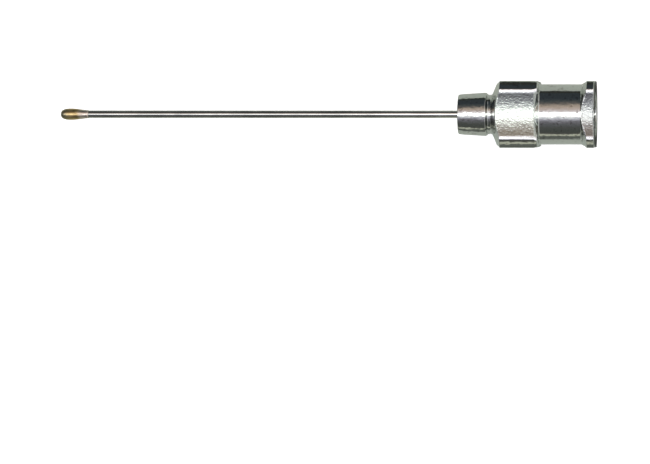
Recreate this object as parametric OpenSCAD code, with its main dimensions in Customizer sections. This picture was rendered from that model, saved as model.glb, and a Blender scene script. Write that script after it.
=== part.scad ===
// Ball-tipped Luer-lock needle: a hub turned from fluted square bar, a straight steel tube
// and an olive on the tube's end. The needle's axis is X. The centre of the Luer mouth is
// the origin, the olive points to -X, and the needle lies on the edges of the hub's lower flute.

/* [Fluted bar] */
// Width of the bar across the bottoms of opposite flutes
across_flutes = 5.74; // [5.7:0.02:6]
// Radius of the shallow hollow in each side of the bar
flute_radius = 7.5; // [6:0.5:20]
// Diameter that the bar's corners are turned to, on the grip block and the flange
corner_d = 7.9; // [7.6:0.05:8.2]

/* [Nose and neck] */
// Diameter of the nose at its front, where it was pressed down on the tube
nose_front_d = 3.82; // [3.4:0.02:3.9]
// Diameter of the nose at its rear edge
nose_d = 4.12; // [3.9:0.02:4.4]
// Length of the nose, up to its rear edge
nose_length = 2.65; // [2.2:0.05:3.4]
// Chamfer on the nose's front edge
nose_edge = 0.08; // [0.04:0.01:0.2]
// Diameter at the bottom of the neck groove
neck_d = 3.7; // [3.3:0.05:3.8]
// Length of the chamfer from the nose down into the groove
neck_chamfer = 0.2; // [0.1:0.02:0.4]
// Length of the groove's flat bottom
neck_length = 0.3; // [0.1:0.05:0.6]

/* [Grip block] */
// Angle of the block's turned front, from the plane across the axis
front_angle = 22; // [15:1:35]
// Length of the block, from the groove to its rear shoulder
block_length = 4.56; // [4:0.01:6]
// Height that the rear shoulder's corners are eased by
shoulder_edge = 0.3; // [0.1:0.05:0.6]
// Angle of that easing, from the plane across the axis
shoulder_angle = 18; // [10:1:30]

/* [Barrel and flange] */
// Diameter of the barrel between the block and the flange
barrel_d = 5.71; // [5.4:0.01:5.72]
// Length of the barrel
barrel_length = 4.03; // [3.5:0.01:6]
// Radius of the turned fillets at both ends of the barrel
root_fillet = 0.15; // [0.05:0.01:0.25]
// Thickness of the flange at its root
flange_root = 1.28; // [1.1:0.02:2]
// Angle of the flange's front ramp, which a Luer lock's thread pulls on
ramp_angle = 27; // [20:1:30]
// Radius that the rear chamfer brings the corners down to
rear_face_r = 3.25; // [3:0.05:3.5]
// Angle of the rear chamfer, from the plane across the axis
rear_angle = 8; // [8:1:15]

/* [Luer socket] */
// Diameter of the taper at the mouth
mouth_d = 4.3; // [4.27:0.005:4.32]
// Taper on the diameter, in percent
taper_percent = 6; // [5:0.5:7]
// Depth of the tapered wall
taper_depth = 7.5; // [7:0.1:8]
// Chamfer around the mouth
mouth_edge = 0.1; // [0.05:0.01:0.2]
// Step from the end of the taper in to the drilled land
land_step = 0.025; // [0.01:0.005:0.05]
// Length of the drilled land below the taper
land_length = 0.7; // [0.4:0.1:1.2]
// Included angle of the drill point
drill_angle = 118; // [90:2:130]

/* [Tube] */
// Outer diameter of the tube
tube_od = 0.72; // [0.5:0.01:0.9]
// Inner diameter of the tube
tube_id = 0.41; // [0.2:0.01:0.45]
// Length from the front of the nose to the tip of the olive
exposed_length = 38.1; // [20:0.1:80]
// Length of the tube that is held in the hub
seat_length = 3.85; // [3:0.05:3.95]
// Gap that the solder fills around the tube
solder_gap = 0.01; // [0.005:0.005:0.03]

/* [Olive] */
// Largest diameter of the olive
olive_d = 1.1; // [0.98:0.02:1.6]
// Length of the olive
olive_length = 2.65; // [2:0.05:4]
// Distance from the tip to the olive's largest diameter
olive_nose = 1; // [0.6:0.05:1.4]
// Fullness of the olive's nose: 2 is an ellipse, and more is blunter
olive_fullness = 2.7; // [2:0.1:3.5]
// Wall of the olive at its thin end
olive_rim = 0.03; // [0.02:0.005:0.06]
// Distance of the tube's end behind the olive's tip
tube_inset = 0.3; // [0.2:0.05:0.6]

/* [Hidden] */
$fn = 96;
// Straight pieces in each rounded outline
ARC_STEPS = 4;
OLIVE_STEPS = 12;
// How far a cutting shape reaches past the surface that it cuts
overcut = 1;

// Places along the axis, from the nose's front at the far end to the mouth at 0
neck_total = neck_chamfer + neck_length;
hub_length = nose_length + neck_total + block_length + barrel_length + flange_root;
nose_front = -hub_length;
nose_rear = nose_front + nose_length;
block_front = nose_rear + neck_total;
shoulder = block_front + block_length;
flange_front = shoulder + barrel_length;
tip = nose_front - exposed_length;

// Radii
nose_front_r = nose_front_d / 2;
nose_r = nose_d / 2;
neck_r = neck_d / 2;
corner_r = corner_d / 2;
barrel_r = barrel_d / 2;
flute_bottom = across_flutes / 2;
mouth_r = mouth_d / 2;
taper_end_r = mouth_r - taper_percent / 200 * taper_depth;
land_r = taper_end_r - land_step;
tube_r = tube_od / 2;
lumen_r = tube_id / 2;
seat_r = tube_r + solder_gap;
olive_r = olive_d / 2;

// Axial run of a surface that climbs by a height at an angle from the plane across the axis
function run(height, angle) = height * tan(angle);

// Points of an arc around [r, z], from one angle to another
function arc(centre, radius, from, to) =
    [for (i = [0:ARC_STEPS])
        let (a = from + (to - from) * i / ARC_STEPS)
        centre + radius * [cos(a), sin(a)]];

// Outline of the turned hub as [radius, place along the axis]
function hub_outline() = concat(
    [
        [0, nose_front],
        [nose_front_r - nose_edge, nose_front],
        [nose_front_r, nose_front + nose_edge],
        [nose_r, nose_rear],
        [neck_r, nose_rear + neck_chamfer],
        [neck_r, block_front],
        [corner_r, block_front + run(corner_r - neck_r, front_angle)],
        [corner_r, shoulder - run(shoulder_edge, shoulder_angle)],
        [corner_r - shoulder_edge, shoulder]
    ],
    arc([barrel_r + root_fillet, shoulder + root_fillet], root_fillet, 270, 180),
    arc([barrel_r + root_fillet, flange_front - root_fillet * tan(45 - ramp_angle / 2)],
        root_fillet, 180, 90 + ramp_angle),
    [
        [corner_r, flange_front + run(corner_r - barrel_r, ramp_angle)],
        [corner_r, -run(corner_r - rear_face_r, rear_angle)],
        [rear_face_r, 0],
        [0, 0]
    ]);

// Outline of the hollow through the hub: taper, drilled land, drill point and tube seat
function hollow_outline() =
    let (land_end = -taper_depth - land_length,
         drill_end = land_end - (land_r - seat_r) / tan(drill_angle / 2))
    [
        [0, overcut],
        [mouth_r + mouth_edge + overcut, overcut],
        [mouth_r, -mouth_edge],
        [taper_end_r, -taper_depth],
        [land_r, -taper_depth],
        [land_r, land_end],
        [seat_r, drill_end],
        [seat_r, nose_front - overcut],
        [0, nose_front - overcut]
    ];

// Blunt nose of the olive: a superellipse from the lumen's edge to the largest radius
function olive_nose_curve() =
    let (power = 2 / olive_fullness,
         start = asin(pow(lumen_r / olive_r, 1 / power)),
         reach = pow(cos(start), power))
    [for (i = [0:OLIVE_STEPS])
        let (a = start + (90 - start) * i / OLIVE_STEPS)
        [olive_r * pow(sin(a), power), tip + olive_nose * (1 - pow(cos(a), power) / reach)]];

// Long rear of the olive: a parabola from the largest radius to the thin rim
function olive_rear_curve() =
    let (rim_r = seat_r + olive_rim,
         rear_length = olive_length - olive_nose)
    [for (i = [1:OLIVE_STEPS])
        let (t = i / OLIVE_STEPS)
        [rim_r + (olive_r - rim_r) * (1 - t * t), tip + olive_nose + rear_length * t]];

// Turns a shape made around Z so that its axis lies along X
module along_x() {
    rotate([0, 90, 0]) children();
}

// The hollow along the top side of the bar
module flute_cut() {
    translate([block_front, 0, flute_bottom + flute_radius])
        along_x() cylinder(h = hub_length, r = flute_radius);
}

module hub() {
    color([0.78, 0.79, 0.78])
        difference() {
            along_x() rotate_extrude() polygon(hub_outline());
            along_x() rotate_extrude() polygon(hollow_outline());
            for (side = [0:3]) rotate([90 * side, 0, 0]) flute_cut();
        }
}

module cannula() {
    tube_front = tip + tube_inset;
    tube_length = nose_front + seat_length - tube_front;
    color([0.66, 0.67, 0.68])
        translate([tube_front, 0, 0])
            along_x()
                difference() {
                    cylinder(h = tube_length, r = tube_r);
                    translate([0, 0, -overcut]) cylinder(h = tube_length + 2 * overcut, r = lumen_r);
                }
}

module olive_tip() {
    seat_end = tip + tube_inset - solder_gap;
    color([0.72, 0.6, 0.36])
        along_x()
            rotate_extrude()
                polygon(concat(
                    olive_nose_curve(),
                    olive_rear_curve(),
                    [
                        [seat_r, tip + olive_length],
                        [seat_r, seat_end],
                        [lumen_r, seat_end]
                    ]));
}

hub();
cannula();
olive_tip();
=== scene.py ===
from math import asin, atan2, ceil, cos, degrees, pi, radians, sin, sqrt, tan

import bpy
import numpy as np
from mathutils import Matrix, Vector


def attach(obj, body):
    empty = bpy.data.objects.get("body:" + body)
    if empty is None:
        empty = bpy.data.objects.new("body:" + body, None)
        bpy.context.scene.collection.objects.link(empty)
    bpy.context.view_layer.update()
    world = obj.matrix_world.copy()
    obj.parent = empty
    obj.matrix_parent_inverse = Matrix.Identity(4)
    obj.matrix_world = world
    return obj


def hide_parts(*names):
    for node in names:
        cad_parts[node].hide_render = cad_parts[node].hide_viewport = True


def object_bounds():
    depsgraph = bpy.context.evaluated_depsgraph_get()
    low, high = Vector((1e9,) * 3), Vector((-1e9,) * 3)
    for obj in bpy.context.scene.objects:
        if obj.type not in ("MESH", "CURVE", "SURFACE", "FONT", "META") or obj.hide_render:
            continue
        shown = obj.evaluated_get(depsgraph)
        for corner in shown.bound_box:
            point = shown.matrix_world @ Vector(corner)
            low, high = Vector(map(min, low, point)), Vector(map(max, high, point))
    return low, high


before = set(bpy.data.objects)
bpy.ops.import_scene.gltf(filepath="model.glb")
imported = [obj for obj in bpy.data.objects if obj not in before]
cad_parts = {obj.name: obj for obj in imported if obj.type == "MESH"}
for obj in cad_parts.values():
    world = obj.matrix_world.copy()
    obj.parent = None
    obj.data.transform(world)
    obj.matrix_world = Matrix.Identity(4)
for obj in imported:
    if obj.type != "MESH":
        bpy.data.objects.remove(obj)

# A ball-tipped Luer-lock needle on a white table, seen from above. The needle's axis is X,
# the Luer mouth's centre is the origin and the olive points to -X. Sizes are in millimetres
# and are turned into metres where a mesh, the camera or a bump is made.
MM = 0.001
CAD_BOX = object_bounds()

# ---------------------------------------------------------------- sizes
# As in the CAD source, apart from NECK_LENGTH, BLOCK_LENGTH, REAR_ANGLE and OLIVE_RIM, which are
# 0.3, 4.56, 8 and 0.03 there and were read from the photo once more for the look.

ACROSS_FLUTES = 5.74
FLUTE_RADIUS = 7.5
CORNER_R = 3.95
NOSE_FRONT_R = 1.91
NOSE_R = 2.06
NOSE_LENGTH = 2.65
NOSE_EDGE = 0.08
NECK_R = 1.85
NECK_CHAMFER = 0.2
NECK_LENGTH = 0.37
FRONT_ANGLE = 22
BLOCK_LENGTH = 4.49
SHOULDER_EDGE = 0.3
SHOULDER_ANGLE = 18
BARREL_R = 2.855
BARREL_LENGTH = 4.03
ROOT_FILLET = 0.15
FLANGE_ROOT = 1.28
RAMP_ANGLE = 27
REAR_FACE_R = 3.25
REAR_ANGLE = 3
MOUTH_R = 2.15
MOUTH_EDGE = 0.1
TAPER_DEPTH = 7.5
TAPER_END_R = 1.925
LAND_R = 1.9
LAND_LENGTH = 0.7
DRILL_ANGLE = 118
TUBE_R = 0.36
LUMEN_R = 0.205
SEAT_R = 0.37
SEAT_LENGTH = 3.85
EXPOSED_LENGTH = 38.1
OLIVE_R = 0.55
OLIVE_LENGTH = 2.65
OLIVE_NOSE = 1.0
OLIVE_FULLNESS = 2.7
OLIVE_RIM = 0.018
TUBE_INSET = 0.3

# Places along the axis
NOSE_FRONT = -(NOSE_LENGTH + NECK_CHAMFER + NECK_LENGTH + BLOCK_LENGTH + BARREL_LENGTH + FLANGE_ROOT)
NOSE_REAR = NOSE_FRONT + NOSE_LENGTH
BLOCK_FRONT = NOSE_REAR + NECK_CHAMFER + NECK_LENGTH
SHOULDER = BLOCK_FRONT + BLOCK_LENGTH
FLANGE_FRONT = SHOULDER + BARREL_LENGTH
TIP = NOSE_FRONT - EXPOSED_LENGTH

# Rounding of the hub's edges
FLUTE_EDGE = 0.27     # how softly the flutes run into the turned corners
FLUTE_SEAM = 0.01     # the same where they only touch the barrel
SOLDER = 0.12         # the solder's fillet where the tube leaves the nose
NOSE_DOME = 0.03      # how much smaller the nose's front is than the line of its side
DOME_LENGTH = 0.5     # how far back the nose's side bends in towards its front
REAR_EASE = 0.18      # radius where the flutes end at the rear face
SHOULDER_EASE = 0.38  # length and depth of the bevel where they end at the block's shoulder
SHOULDER_DROP = 0.3
SHARP = 0.001         # a step that is only there to keep two points apart

# ---------------------------------------------------------------- camera

VIEW_WIDTH = 61.86    # width of the view at the needle, in mm
VIEW_CENTRE = (-25.76, -11.2)
VIEW_TILT = 6.0       # away from straight overhead towards the Luer mouth, in degrees
VIEW_LEAN = 1.45      # towards +Y, in degrees
LENS = 300.0          # focal length and sensor width, in mm
SENSOR = 36.0


def make_camera():
    distance = VIEW_WIDTH * LENS / SENSOR
    tilt, lean = radians(VIEW_TILT), radians(VIEW_LEAN)
    data = bpy.data.cameras.new("camera")
    data.lens, data.sensor_width = LENS, SENSOR
    data.clip_start, data.clip_end = 0.01, 20
    camera = bpy.data.objects.new("camera", data)
    camera.location = (
        (VIEW_CENTRE[0] + distance * sin(tilt) * cos(lean)) * MM,
        (VIEW_CENTRE[1] + distance * sin(lean)) * MM,
        distance * cos(tilt) * cos(lean) * MM,
    )
    camera.rotation_euler = (-lean, tilt, 0)
    bpy.context.collection.objects.link(camera)
    bpy.context.scene.camera = camera


# ---------------------------------------------------------------- turned outlines

def run(height, angle):
    """Axial run of a surface that climbs by height at an angle from the plane across the axis."""
    return height * tan(radians(angle))


# How finely outlines are divided
ARC_STEP = radians(14)   # most turn between two points of a rounding
EDGE_GUARD = 0.02        # a straight part's first and last points lie this near to its ends, in mm
MOST_OF_SIDE = 0.45      # share of a straight part that one rounding may take


def rounded(points):
    """Dense outline through (x, r, rounding, steps): steps divides the straight part that follows."""
    dense = []
    for i, (x, r, rounding, _) in enumerate(points):
        here = np.array([x, r])
        if rounding == 0 or i in (0, len(points) - 1):
            dense.append([here])
            continue
        before = np.array(points[i - 1][:2]) - here
        after = np.array(points[i + 1][:2]) - here
        room = MOST_OF_SIDE * min(np.linalg.norm(before), np.linalg.norm(after))
        before, after = before / np.linalg.norm(before), after / np.linalg.norm(after)
        half = np.arccos(np.clip(before @ after, -1, 1)) / 2
        reach = min(rounding / np.tan(half), room)
        radius = reach * np.tan(half)
        centre = here + (before + after) / np.linalg.norm(before + after) * radius / np.sin(half)
        start, end = here + before * reach - centre, here + after * reach - centre
        turn = np.arctan2(start[0] * end[1] - start[1] * end[0], start @ end)
        count = max(2, ceil(abs(turn) / ARC_STEP))
        arc = []
        for k in range(count + 1):
            a = turn * k / count
            arc.append(centre + [start[0] * cos(a) - start[1] * sin(a),
                                 start[0] * sin(a) + start[1] * cos(a)])
        dense.append(arc)
    outline = []
    for i, arc in enumerate(dense):
        outline.extend(arc)
        if i + 1 < len(dense):
            outline.extend(between(arc[-1], dense[i + 1][0], points[i][3]))
    return np.array(outline)


def between(a, b, steps):
    """Points inside the straight part from a to b, with one close to each end to hold the edge."""
    length = np.linalg.norm(b - a)
    if length < EDGE_GUARD or steps == 0:
        return []
    close = min(EDGE_GUARD, length * 0.2) / length
    fractions = [close] + [k / steps for k in range(1, steps) if close < k / steps < 1 - close]
    return [a + (b - a) * f for f in fractions + [1 - close]]


def hub_outline():
    """The hub's section, with no flutes: from the solder over the outside and back through the bore."""
    nose_side = NOSE_FRONT_R + (NOSE_R - NOSE_FRONT_R) * DOME_LENGTH / NOSE_LENGTH
    front_run = run(CORNER_R - NECK_R, FRONT_ANGLE)
    ramp_run = run(CORNER_R - BARREL_R, RAMP_ANGLE)
    land_end = -TAPER_DEPTH - LAND_LENGTH
    drill_run = (LAND_R - SEAT_R) / tan(radians(DRILL_ANGLE / 2))
    return rounded([
        (NOSE_FRONT - SOLDER, SEAT_R, 0, 2),
        (NOSE_FRONT - SOLDER * 0.8, SEAT_R + SOLDER * 0.25, 0.02, 2),
        (NOSE_FRONT, SEAT_R + SOLDER, 0.06, 7),
        (NOSE_FRONT, NOSE_FRONT_R - NOSE_DOME, NOSE_EDGE, 4),
        (NOSE_FRONT + DOME_LENGTH, nose_side, 0.25, 12),
        (NOSE_REAR, NOSE_R, 0.16, 3),
        (NOSE_REAR + NECK_CHAMFER, NECK_R, 0.3, 2),
        (BLOCK_FRONT, NECK_R, 0.24, 22),
        (BLOCK_FRONT + front_run, CORNER_R, 0.05, 9),
        (SHOULDER - SHOULDER_EASE, CORNER_R, 0, 4),
        (SHOULDER - run(SHOULDER_EDGE, SHOULDER_ANGLE), CORNER_R, 0.05, 3),
        (SHOULDER, CORNER_R - SHOULDER_EDGE, 0.04, 7),
        (SHOULDER + 2 * SHARP, BARREL_R, ROOT_FILLET, 7),
        (FLANGE_FRONT, BARREL_R, ROOT_FILLET, 12),
        (FLANGE_FRONT + ramp_run, CORNER_R, 0.05, 4),
        (-REAR_EASE, CORNER_R, 0, 6),
        (-run(CORNER_R - REAR_FACE_R, REAR_ANGLE), CORNER_R, 0.13, 9),
        (-SHARP, REAR_FACE_R, 0.04, 7),
        (0, MOUTH_R + MOUTH_EDGE, 0.03, 2),
        (-MOUTH_EDGE, MOUTH_R, 0.03, 6),
        (-TAPER_DEPTH, TAPER_END_R, 0, 1),
        (-TAPER_DEPTH - SHARP, LAND_R, 0, 3),
        (land_end, LAND_R, 0.04, 4),
        (land_end - drill_run, SEAT_R, 0.02, 3),
        (NOSE_FRONT - SOLDER, SEAT_R, 0, 0),
    ])[:-1]


# ---------------------------------------------------------------- the bar's flutes

FINE_STEP = 0.42      # degrees between two points round the hub, beside a flute's edge
COARSE_STEP = 1.6     # and away from it
FINE_REACH = 3.2      # degrees on each side of the edge that stay fine
STEP_GROWTH = 4.0     # degrees in which the step then grows
SKIN_DEPTH = 0.06     # a surface cut less than this below the turned one is part skin, in mm


def side_angles():
    """Angles round the hub, closer together where the flutes meet the turned corners."""
    edge = degrees(atan2(*flute_edge()))
    angles, a = [], -45.0
    while a < 45 - 1e-6:
        angles.append(a)
        growth = (abs(abs(a) - edge) - FINE_REACH) / STEP_GROWTH
        a += FINE_STEP + (COARSE_STEP - FINE_STEP) * min(1, max(0, growth))
    angles = np.array(angles)
    angles = -45 + (angles + 45) * 90 / (a + 45)
    return np.radians(np.concatenate([angles + 90 * side for side in range(4)]))


def flute_edge():
    """Half width and height where a flute's circle crosses the turned corners' circle."""
    middle = ACROSS_FLUTES / 2 + FLUTE_RADIUS
    height = (middle**2 + CORNER_R**2 - FLUTE_RADIUS**2) / (2 * middle)
    return sqrt(CORNER_R**2 - height**2), height


def from_side(angles):
    """Each angle measured from the middle of its own side of the bar."""
    return (angles + pi / 4) % (pi / 2) - pi / 4


def flute_limit(angles):
    """Radius of the nearest flute's surface at each angle."""
    a = from_side(angles)
    middle = ACROSS_FLUTES / 2 + FLUTE_RADIUS
    return middle * np.cos(a) - np.sqrt(FLUTE_RADIUS**2 - (middle * np.sin(a)) ** 2)


def end_drop(x):
    """How far a flute's surface drops beside the block's shoulder and the rear face."""
    bevel = np.clip(1 - (SHOULDER - x) / SHOULDER_EASE, 0, 1) * (x <= SHOULDER)
    near = np.clip(1 + x / REAR_EASE, 0, 1)
    return SHOULDER_DROP * bevel + REAR_EASE * (1 - np.sqrt(1 - near**2))


def soft_min(a, b, softness):
    """The smaller of two radii, with the corner between them rounded off."""
    near = np.maximum(softness - np.abs(a - b), 0) / softness
    return np.minimum(a, b) - near**2 * softness / 4


def hub_radii(outline, angles):
    """Radius at each place of the outline and each angle, and where it is bar skin or an edge."""
    x, r = outline[:, :1], outline[:, 1:]
    limit = np.maximum(flute_limit(angles[None, :]) - end_drop(x), BARREL_R - SHARP)
    inside = np.zeros(r.shape, bool)
    inside[np.argmax((x[:, 0] > -1.5 * SHARP) & (r[:, 0] < REAR_FACE_R - 0.05)):] = True
    on_bar = (x > BLOCK_FRONT) & ~inside
    above_barrel = np.clip((r - BARREL_R - 0.1) / 0.6, 0, 1)
    softness = FLUTE_SEAM + FLUTE_EDGE * above_barrel
    radii = np.where(on_bar, soft_min(r, limit, softness), r)
    skin = np.where(on_bar, np.clip((r - limit) / SKIN_DEPTH, 0, 1), 0)
    # The rounded band where a flute runs into the turned corners; the plating makes it rougher and
    # paints a highlight on it
    near_edge = np.clip(1 - np.abs(r - limit) / softness, 0, 1) * softness / FLUTE_EDGE
    edge_or_blotches = np.where(on_bar & (softness > 2 * FLUTE_SEAM), np.clip(near_edge, 0, 1), 0)
    return radii, {"bar_skin": skin, "glint_edge": edge_or_blotches}


# ---------------------------------------------------------------- meshes

OLIVE_STEPS = 24
FULL_TAPER = 0.3      # share of a parabola in the olive's taper; a cosine's wave is the rest
SOLDER_GAP = 0.01     # between the tube's end and its stop in the olive
TUBE_EDGE = 0.015     # rounding of the tube's ends


def ring_grid(name, x, radii, angles, closed=True, marks=None):
    """A mesh of rings round the X axis, with smooth normals worked out from the exact shape."""
    rows, columns = radii.shape
    points = np.stack([
        np.broadcast_to(x, radii.shape),
        radii * np.sin(angles)[None, :],
        radii * np.cos(angles)[None, :],
    ], axis=-1)
    normals = grid_normals(points, closed)
    i, j = np.meshgrid(np.arange(rows if closed else rows - 1), np.arange(columns), indexing="ij")
    i2, j2 = (i + 1) % rows, (j + 1) % columns
    faces = np.stack([i * columns + j, i2 * columns + j, i2 * columns + j2, i * columns + j2], -1)
    mesh = bpy.data.meshes.new(name)
    mesh.from_pydata((points.reshape(-1, 3) * MM).tolist(), [], faces.reshape(-1, 4).tolist())
    mesh.shade_smooth()
    for mark, values in (marks or {}).items():
        layer = mesh.attributes.new(mark, "FLOAT", "POINT")
        layer.data.foreach_set("value", values.reshape(-1).astype(np.float32))
    mesh.normals_split_custom_set_from_vertices(normals.reshape(-1, 3).tolist())
    piece = bpy.data.objects.new(name, mesh)
    bpy.context.collection.objects.link(piece)
    return piece


def unit(v):
    return v / np.maximum(np.linalg.norm(v, axis=-1, keepdims=True), 1e-12)


def grid_normals(points, closed):
    ahead = unit(np.roll(points, -1, axis=0) - points)
    behind = unit(points - np.roll(points, 1, axis=0))
    if not closed:
        ahead[-1], behind[0] = behind[-1], ahead[0]
    along = ahead + behind
    around = np.roll(points, -1, axis=1) - np.roll(points, 1, axis=1)
    return unit(np.cross(along, around))


def even_angles(count):
    return np.linspace(0, 2 * pi, count, endpoint=False)


def turned_piece(name, outline, count=96):
    """A closed outline of [x, r] points turned round the axis."""
    x, r = outline[:, :1], outline[:, 1:]
    return ring_grid(name, x, r * np.ones((1, count)), even_angles(count))


def make_hub():
    outline, angles = hub_outline(), side_angles()
    radii, marks = hub_radii(outline, angles)
    return ring_grid("turned_hub", outline[:, :1], radii, angles, marks=marks)


def make_tube():
    front = TIP + TUBE_INSET
    rear = NOSE_FRONT + SEAT_LENGTH
    middle_of_wall = (LUMEN_R + TUBE_R) / 2
    return turned_piece("steel_tube", rounded([
        (front, middle_of_wall, 0, 2),
        (front, TUBE_R, TUBE_EDGE, 60),
        (rear, TUBE_R, TUBE_EDGE, 2),
        (rear, LUMEN_R, TUBE_EDGE, 10),
        (front, LUMEN_R, TUBE_EDGE, 2),
        (front, middle_of_wall, 0, 0),
    ])[:-1])


def olive_nose():
    """A super-ellipse from the lumen's rim to the olive's widest place."""
    power = 2 / OLIVE_FULLNESS
    start = asin((LUMEN_R / OLIVE_R) ** (1 / power))
    reach = cos(start) ** power
    points = []
    for k in range(OLIVE_STEPS + 1):
        a = start + (pi / 2 - start) * k / OLIVE_STEPS
        points.append((TIP + OLIVE_NOSE * (1 - cos(a) ** power / reach), OLIVE_R * sin(a) ** power))
    return points


def olive_taper():
    """From the widest place to the rear rim, where the solder flattens the curve."""
    rim = SEAT_R + OLIVE_RIM
    points = []
    for k in range(1, OLIVE_STEPS + 1):
        t = k / OLIVE_STEPS
        swell = FULL_TAPER * (1 - t * t) + (1 - FULL_TAPER) * (0.5 + 0.5 * cos(pi * t))
        points.append((TIP + OLIVE_NOSE + (OLIVE_LENGTH - OLIVE_NOSE) * t,
                       rim + (OLIVE_R - rim) * swell))
    return points


def olive_bore():
    """Back from the rear rim through the tube's seat, over its stop and through the lumen."""
    rear, stop, near = TIP + OLIVE_LENGTH, TIP + TUBE_INSET - SOLDER_GAP, EDGE_GUARD
    return [
        (rear, SEAT_R + 2 * SHARP), (rear - near / 2, SEAT_R), (rear - 0.8, SEAT_R),
        (stop + near, SEAT_R), (stop, SEAT_R), (stop, LUMEN_R + near), (stop, LUMEN_R),
        (stop - near, LUMEN_R), (TIP + near, LUMEN_R),
    ]


def make_olive():
    return turned_piece("olive", np.array(olive_nose() + olive_taper() + olive_bore()))


# ---------------------------------------------------------------- materials

# Two colours together are the darker and the lighter one of a patchy surface
PLATE = ((0.46, 0.475, 0.46, 1), (0.54, 0.55, 0.53, 1))
PLATE_STAIN = (0.30, 0.29, 0.28, 1)
# Painted highlight: the paler tone of the flutes' rounded edges
PLATE_EDGE_HIGHLIGHT = (0.66, 0.66, 0.69, 1)
BLOCK_SKIN = ((0.32, 0.345, 0.32, 1), (0.40, 0.43, 0.40, 1))
FLANGE_SKIN = ((0.22, 0.23, 0.23, 1), (0.31, 0.32, 0.31, 1))
SKIN_PIT = (0.25, 0.24, 0.23, 1)
# Painted light: the tube's tone far from the hub is a shaded copy, and the one near it a lit copy
STEEL_FAR_SHADED = ((0.30, 0.305, 0.295, 1), (0.38, 0.38, 0.365, 1))
STEEL_NEAR_HUB_LIT = ((0.50, 0.49, 0.47, 1), (0.60, 0.60, 0.58, 1))
GOLD = ((0.38, 0.29, 0.14, 1), (0.54, 0.41, 0.21, 1))
# greyer, darker tone that the olive takes towards its nose
GOLD_DARK_NOSE = (0.20, 0.205, 0.16, 1)
SOLDER_COLOUR = (0.56, 0.50, 0.44, 1)

# The least and the most roughness of each surface
TURNED_ROUGHNESS = (0.05, 0.1)
SKIN_ROUGHNESS = (0.08, 0.2)
EDGE_ROUGHNESS = 0.24
STEEL_ROUGHNESS = (0.08, 0.14)
OLIVE_ROUGHNESS = (0.28, 0.42)

# Heights of the relief, in mm
WAVES = 0.02
TURNED_RINGS = 0.0012
FINE_RINGS = 0.0004
RIPPLE = 0.01
SKIN_RELIEF = 0.024
STEEL_POLISH = 0.003
STEEL_LINES = 0.0025
OLIVE_RINGS = 0.0015


class Nodes:
    """A small helper that makes a node tree's nodes and links in one line each."""

    def __init__(self, tree):
        self.tree = tree
        tree.nodes.clear()

    def add(self, kind, values=None, **settings):
        node = self.tree.nodes.new(kind)
        for key, value in settings.items():
            setattr(node, key, value)
        for key, value in (values or {}).items():
            if isinstance(value, bpy.types.NodeSocket):
                self.tree.links.new(value, node.inputs[key])
            else:
                node.inputs[key].default_value = value
        return node

    def math(self, operation, a, b=0.0, c=0.0):
        return self.add("ShaderNodeMath", {0: a, 1: b, 2: c}, operation=operation).outputs[0]

    def smooth(self, value, low, high, to_low=0.0, to_high=1.0):
        node = self.add("ShaderNodeMapRange", {0: value, 1: low, 2: high, 3: to_low, 4: to_high},
                        interpolation_type="SMOOTHSTEP")
        return node.outputs[0]

    def noise(self, vector, scale=1.0, detail=2.0, roughness=0.5):
        return self.add("ShaderNodeTexNoise", {
            "Vector": vector, "Scale": scale, "Detail": detail, "Roughness": roughness,
        }).outputs[0]

    def mix_colour(self, factor, a, b):
        node = self.add("ShaderNodeMix", {0: factor, 6: a, 7: b}, data_type="RGBA")
        return node.outputs[2]

    def mix(self, factor, a, b):
        return self.add("ShaderNodeMix", {0: factor, 2: a, 3: b}, data_type="FLOAT").outputs[0]


def new_material(name):
    material = bpy.data.materials.new(name)
    material.use_nodes = True
    return material, Nodes(material.node_tree)


def position_in_mm(n):
    """Place on the object in millimetres, and its parts."""
    place = n.add("ShaderNodeTexCoord").outputs["Object"]
    scaled = n.add("ShaderNodeVectorMath", {0: place, "Scale": 1 / MM}, operation="SCALE").outputs[0]
    parts = n.add("ShaderNodeSeparateXYZ", {0: scaled}).outputs
    return scaled, parts[0], parts[1], parts[2]


def stretched(n, x, y, z, along, across):
    """Coordinates for a noise whose detail is packed by along on the axis, and by across round it."""
    return n.add("ShaderNodeCombineXYZ", {
        0: n.math("MULTIPLY", x, along), 1: n.math("MULTIPLY", y, across),
        2: n.math("MULTIPLY", z, across),
    }).outputs[0]


def turning_lines(n, x, y, z, density):
    """Noise drawn out into rings round the axis, as a cutting tool leaves."""
    radius = n.math("SQRT", n.math("ADD", n.math("MULTIPLY", y, y), n.math("MULTIPLY", z, z)))
    return n.noise(stretched(n, n.math("ADD", x, radius), y, z, density, 0.25), 1.0, 3.0, 0.6)


def bump(n, height, distance, below=None):
    values = {"Height": height, "Distance": distance * MM, "Strength": 1.0}
    if below is not None:
        values["Normal"] = below
    return n.add("ShaderNodeBump", values).outputs[0]


def metal(n, tone, roughness, normal):
    shader = n.add("ShaderNodeBsdfPrincipled", {
        "Base Color": tone, "Metallic": 1.0, "Roughness": roughness, "Normal": normal,
    })
    n.add("ShaderNodeOutputMaterial", {0: shader.outputs[0]})


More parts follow.
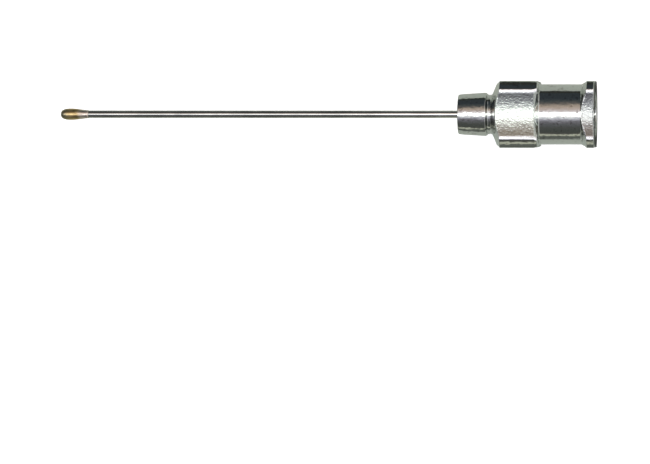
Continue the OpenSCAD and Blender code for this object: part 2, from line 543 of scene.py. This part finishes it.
def plating():
    """Bright plating: fine rings on the turned surfaces, a speckled skin in the bar's flutes."""
    material, n = new_material("hub_plating")
    place, x, y, z = position_in_mm(n)
    skin = n.add("ShaderNodeAttribute", attribute_name="bar_skin").outputs["Fac"]
    # the flutes' rounded edges, which carry a painted highlight
    edge = n.add("ShaderNodeAttribute", attribute_name="glint_edge").outputs["Fac"]
    rings = turning_lines(n, x, y, z, 9.0)
    grain = n.noise(place, 9.0, 3.0, 0.65)
    roughness = n.mix(skin, n.smooth(rings, 0.3, 0.7, *TURNED_ROUGHNESS),
                      n.smooth(grain, 0.3, 0.7, *SKIN_ROUGHNESS))
    roughness = n.mix(edge, roughness, EDGE_ROUGHNESS)
    normal = bump(n, n.noise(place, 1.1, 1.0), WAVES)
    normal = bump(n, rings, TURNED_RINGS, normal)
    normal = bump(n, turning_lines(n, x, y, z, 30.0), FINE_RINGS, normal)
    normal = bump(n, rippled(n, place, x), RIPPLE, normal)
    normal = bump(n, skin_height(n, (place, x, y, z), skin, edge), SKIN_RELIEF, normal)
    metal(n, plating_tone(n, place, x, grain, skin, edge), roughness, normal)
    return material


def plating_tone(n, place, x, grain, skin, edge):
    """Patches and stains on what is turned, a darker and pitted skin in the flutes, a painted highlight
    on their rounded edges.
    """
    stains = n.smooth(n.noise(place, 2.4, 2.0, 0.6), 0.6, 0.68)
    tone = n.mix_colour(n.smooth(grain, 0.3, 0.7), *PLATE)
    tone = n.mix_colour(n.math("MULTIPLY", stains, 0.7), tone, PLATE_STAIN)
    on_flange = n.smooth(x, FLANGE_FRONT - 0.1, FLANGE_FRONT + 0.1)
    darker, lighter = (n.mix_colour(on_flange, *pair) for pair in zip(BLOCK_SKIN, FLANGE_SKIN))
    tone = n.mix_colour(skin, tone, n.mix_colour(n.smooth(grain, 0.35, 0.65), darker, lighter))
    pits = n.math("MULTIPLY", n.smooth(n.noise(place, 7.0, 2.0, 0.7), 0.6, 0.7), skin)
    tone = n.mix_colour(n.math("MULTIPLY", pits, 0.6), tone, SKIN_PIT)
    # Painted highlight: the flutes' rounded edges turn paler
    return n.mix_colour(n.math("MULTIPLY", edge, 0.9), tone, PLATE_EDGE_HIGHLIGHT)


def rippled(n, place, x):
    """Soft dents, nearly twice as high on the nose."""
    on_nose = n.math("LESS_THAN", x, BLOCK_FRONT)
    return n.math("MULTIPLY", n.noise(place, 3.2, 2.0), n.math("MULTIPLY_ADD", on_nose, 0.9, 1.0))


def skin_height(n, position, skin, edge):
    """Speckle and a little of the drawn lines, in the flutes alone and fading at their edges."""
    place, x, y, z = position
    speckle = n.noise(place, 6.0, 2.0, 0.6)
    drawn = n.noise(stretched(n, x, y, z, 0.6, 14), 1.0, 2.0)
    flat_skin = n.math("SUBTRACT", skin, n.math("MULTIPLY", edge, 0.8))
    return n.math("MULTIPLY", flat_skin, n.math("ADD", speckle, n.math("MULTIPLY", drawn, 0.2)))


def steel():
    """Drawn steel tube, with fine lines along it and a faint stain here and there, painted paler by the
    hub as a pool of light.
    """
    material, n = new_material("tube_steel")
    _, x, y, z = position_in_mm(n)
    drawn = n.noise(stretched(n, x, y, z, 0.35, 18), 1.0, 2.0)
    stain = n.noise(stretched(n, x, y, z, 0.5, 1), 1.0, 3.0)
    polish = n.noise(stretched(n, x, y, z, 7, 1), 1.0, 3.0, 0.6)
    # painted light: the tube's tone grows paler towards the hub
    near_hub = n.smooth(x, NOSE_FRONT - 12, NOSE_FRONT - 2)
    darker, lighter = (n.mix_colour(near_hub, *pair) for pair in zip(STEEL_FAR_SHADED, STEEL_NEAR_HUB_LIT))
    tone = n.mix_colour(n.smooth(stain, 0.35, 0.65), darker, lighter)
    normal = bump(n, drawn, STEEL_LINES, bump(n, polish, STEEL_POLISH))
    metal(n, tone, n.smooth(polish, 0.3, 0.7, *STEEL_ROUGHNESS), normal)
    return material


def olive_metal():
    """Gold-coloured olive, greyer and darker towards its nose, with pinkish solder at its rear."""
    material, n = new_material("olive_metal")
    place, x, y, z = position_in_mm(n)
    edge_or_blotches = n.noise(place, 2.2, 3.0)
    nose = n.smooth(x, TIP + 0.1, TIP + 1.1, 1.0, 0.0)
    # the olive turns greyer and darker towards its nose, in blotches
    nose_darkening = n.math("MULTIPLY", nose, n.smooth(edge_or_blotches, 0.2, 0.7, 0.4, 1.0))
    solder = n.smooth(n.math("MULTIPLY_ADD", edge_or_blotches, 0.5, x), TIP + 1.7, TIP + 2.4)
    tone = n.mix_colour(n.smooth(edge_or_blotches, 0.35, 0.65), *GOLD)
    tone = n.mix_colour(nose_darkening, tone, GOLD_DARK_NOSE)
    tone = n.mix_colour(solder, tone, SOLDER_COLOUR)
    normal = bump(n, turning_lines(n, x, y, z, 12.0), OLIVE_RINGS)
    metal(n, tone, n.smooth(edge_or_blotches, 0.3, 0.7, *OLIVE_ROUGHNESS), normal)
    return material


# ---------------------------------------------------------------- table and light

TABLE_SIZE = 3000.0
TABLE_COLOUR = (0.8, 0.8, 0.8, 1)
TABLE_GLOW = 0.75     # added to the table's own lit colour, so that the camera sees it as white

# The table as metal mirrors it: a pale sheet, with painted shade beyond it along Y and a painted shadow
# by the mouth
SHEET_COLOUR = (0.56, 0.62, 0.55, 1)
SHEET_GLOW = 0.04
FAR_EDGE = (20.0, 32.0)       # along Y, where the sheet gives way to painted shade
FAR_PAINTED_SHADE = 0.08              # the painted shade's share of the sheet's brightness there
NEAR_EDGE = (-20.0, -11.0)    # the same towards -Y
NEAR_PAINTED_SHADE = 0.3
MOUTH_SHADE = (0.3, 2.0)      # along X from the rear face, where the hub's shade on the sheet ends
SHADE_LEVEL = 0.15


def make_table(height):
    mesh = bpy.data.meshes.new("table")
    s = TABLE_SIZE / 2 * MM
    mesh.from_pydata([(-s, -s, height), (s, -s, height), (s, s, height), (-s, s, height)], [],
                     [(0, 1, 2, 3)])
    table = bpy.data.objects.new("table", mesh)
    bpy.context.collection.objects.link(table)
    material, n = new_material("table")
    light = n.add("ShaderNodeLightPath").outputs
    seen = light["Is Camera Ray"]
    mirrored = n.math("MAXIMUM", light["Is Glossy Ray"], light["Is Transmission Ray"])
    # Painted shade: the table that metal mirrors is darker beyond the sheet and by the mouth
    sheet = sheet_level(n)
    sheet_glow = n.math("MULTIPLY", n.math("MULTIPLY", mirrored, SHEET_GLOW), sheet)
    glow = n.math("MULTIPLY_ADD", seen, TABLE_GLOW, sheet_glow)
    colour = n.mix_colour(seen, n.mix_colour(sheet, (0, 0, 0, 1), SHEET_COLOUR), TABLE_COLOUR)
    emission = n.add("ShaderNodeEmission", {"Strength": glow})
    diffuse = n.add("ShaderNodeBsdfDiffuse", {"Color": colour})
    both = n.add("ShaderNodeAddShader", {0: emission.outputs[0], 1: diffuse.outputs[0]})
    n.add("ShaderNodeOutputMaterial", {0: both.outputs[0]})
    mesh.materials.append(material)
    return table


def sheet_level(n):
    """1 on the mirrored sheet, less where shade is painted to both sides along Y and where the hub's
    shadow is painted by the mouth.
    """
    _, x, y, _ = position_in_mm(n)
    level = n.math("MULTIPLY", n.smooth(y, *FAR_EDGE, 1.0, FAR_PAINTED_SHADE),
                   n.smooth(y, *NEAR_EDGE, NEAR_PAINTED_SHADE, 1.0))
    beyond_mouth = n.math("GREATER_THAN", x, -0.05)
    return n.math("MULTIPLY", level,
                  n.mix(beyond_mouth, 1.0, n.smooth(x, *MOUTH_SHADE, SHADE_LEVEL, 1.0)))


# The room's light by the angle from straight overhead, in degrees towards +Y: red, green, blue
ROOM = [
    (-90, 0.72, 0.74, 0.6), (-84, 0.72, 0.74, 0.6), (-81, 0.12, 0.12, 0.11), (-66, 0.1, 0.11, 0.1),
    (-52, 0.128, 0.132, 0.128), (-43, 0.165, 0.17, 0.18), (-35, 0.205, 0.2, 0.222),
    (-29, 0.29, 0.28, 0.32), (-24, 0.43, 0.42, 0.48), (-19, 0.72, 0.7, 0.8), (-15, 1.0, 1.0, 1.1),
    (-10, 1.4, 1.4, 1.45), (-5, 1.7, 1.7, 1.7), (5, 1.7, 1.7, 1.7), (9, 1.45, 1.37, 1.4),
    (13, 1.12, 0.99, 1.01), (18, 0.92, 0.78, 0.74), (26, 0.77, 0.62, 0.53), (32, 0.66, 0.54, 0.45),
    (36, 0.5, 0.41, 0.355), (40, 0.28, 0.245, 0.215), (45, 0.16, 0.155, 0.15),
    (54, 0.085, 0.1, 0.106), (62, 0.052, 0.064, 0.075), (90, 0.052, 0.064, 0.072),
]
ENDS_COLOUR = (0.1, 0.105, 0.11, 1)     # the room straight ahead of the olive and of the mouth
ENDS_START = (0.6, 0.9)                 # where it begins and is full, as the sine of the angle along X
LAMP_COLOUR = (1.0, 0.995, 0.98, 1)
STRIP = (-8.0, -4.0, 4.0, 8.0)          # the bright strip overhead, by the same angle as the room's:
STRIP_REACH = (-0.92, -0.8, 0.05, 0.2)  # it starts, is full, and ends; and so along X, as a sine
STRIP_STRENGTH = 3.6
END_LIGHT = (0.25, 0.5)                 # soft light beyond the mouth, along X as a sine
END_STRENGTH = 0.8


def make_light():
    world = bpy.data.worlds.new("room")
    world.use_nodes = True
    bpy.context.scene.world = world
    n = Nodes(world.node_tree)
    direction = n.add("ShaderNodeTexCoord").outputs["Generated"]
    x, y, z = n.add("ShaderNodeSeparateXYZ", {0: direction}).outputs
    angle = n.math("MULTIPLY", n.math("ARCTAN2", y, z), 180 / pi)
    ramp = n.add("ShaderNodeValToRGB", {0: n.math("MULTIPLY_ADD", angle, 1 / 180, 0.5)})
    fill_ramp(ramp.color_ramp, [((a + 90) / 180, (r, g, b)) for a, r, g, b in ROOM])
    strip = n.math("MULTIPLY", n.math("MULTIPLY", hump(n, angle, STRIP), hump(n, x, STRIP_REACH)),
                   STRIP_STRENGTH)
    end = n.smooth(x, *END_LIGHT, 0.0, END_STRENGTH)
    at_ends = n.smooth(n.math("ABSOLUTE", x), *ENDS_START)
    colour = n.mix_colour(at_ends, ramp.outputs[0], ENDS_COLOUR)
    room = n.add("ShaderNodeBackground", {0: colour, 1: 1.0})
    lamp = n.add("ShaderNodeBackground", {0: LAMP_COLOUR, 1: n.math("ADD", strip, end)})
    both = n.add("ShaderNodeAddShader", {0: room.outputs[0], 1: lamp.outputs[0]})
    white = n.add("ShaderNodeBackground", {0: (1, 1, 1, 1), 1: 1.0})
    seen = n.add("ShaderNodeLightPath").outputs["Is Camera Ray"]
    shown = n.add("ShaderNodeMixShader", {0: seen, 1: both.outputs[0], 2: white.outputs[0]})
    n.add("ShaderNodeOutputWorld", {0: shown.outputs[0]})


def hump(n, value, places):
    """1 between the two middle places, 0 outside the outer two."""
    return n.math("MULTIPLY", n.smooth(value, places[0], places[1]),
                  n.smooth(value, places[2], places[3], 1.0, 0.0))


def fill_ramp(ramp, stops):
    """Put (place, colour) stops on a colour ramp, in place of its own."""
    while len(ramp.elements) > 1:
        ramp.elements.remove(ramp.elements[0])
    ramp.elements[0].position = stops[0][0]
    ramp.elements[0].color = (*stops[0][1], 1)
    for place, colour in stops[1:]:
        ramp.elements.new(place).color = (*colour, 1)


# ---------------------------------------------------------------- the scene

def dress(piece, node, material):
    piece.data.materials.append(material)
    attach(piece, "root")
    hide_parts(node)


make_camera()
bpy.context.scene.view_settings.view_transform = "Standard"
dress(make_hub(), "hub", plating())
dress(make_tube(), "cannula", steel())
dress(make_olive(), "olive_tip", olive_metal())
make_table(CAD_BOX[0].z)
make_light()
